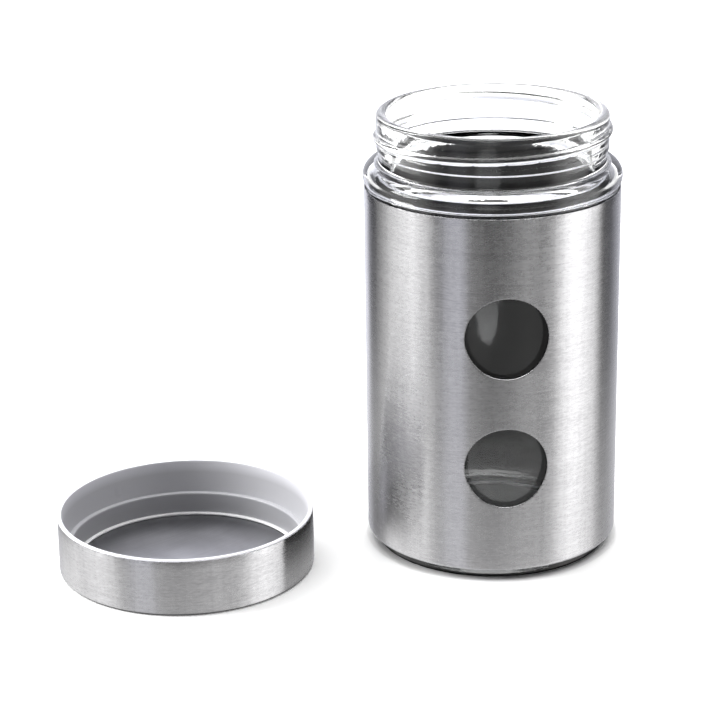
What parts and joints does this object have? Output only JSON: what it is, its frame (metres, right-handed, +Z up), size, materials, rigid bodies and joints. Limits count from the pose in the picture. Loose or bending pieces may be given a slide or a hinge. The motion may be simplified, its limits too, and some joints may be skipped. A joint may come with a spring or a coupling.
{
  "type": "storage jar with screw lid",
  "caption": "Upright glass storage jar in a brushed steel sleeve with round windows; its steel screw lid lies open side up beside it.",
  "frame": {"origin": "centre of the jar's foot, on the surface that the jar and the lid stand on", "axes": "+Z up along the jar's axis; -Y faces the two windows; the lid lies towards -X"},
  "size_m": [0.225, 0.1199, 0.176],
  "materials": {
    "clear_glass": "clear, fire-polished",
    "sleeve_steel": "brushed round the axis",
    "lid_steel": "brushed round the axis outside, plain mill finish inside",
    "white_plastic": "satin moulded",
    "white_silicone": "soft, slightly glossy"
  },
  "bodies": {
    "jar": {"glass_jar": "clear_glass", "steel_sleeve": "sleeve_steel"},
    "lid": {"lid_shell": "lid_steel", "lid_insert": "white_plastic", "lid_seal": "white_silicone"}
  },
  "joints": [
    {"name": "lid_swing", "type": "hinge", "parent": "jar", "child": "lid", "pos_m": [-0.06195, -0.0094, 0.1026], "axis": [-0.15, 0.9887, 0], "range_deg": [0, 180]}
  ]
}
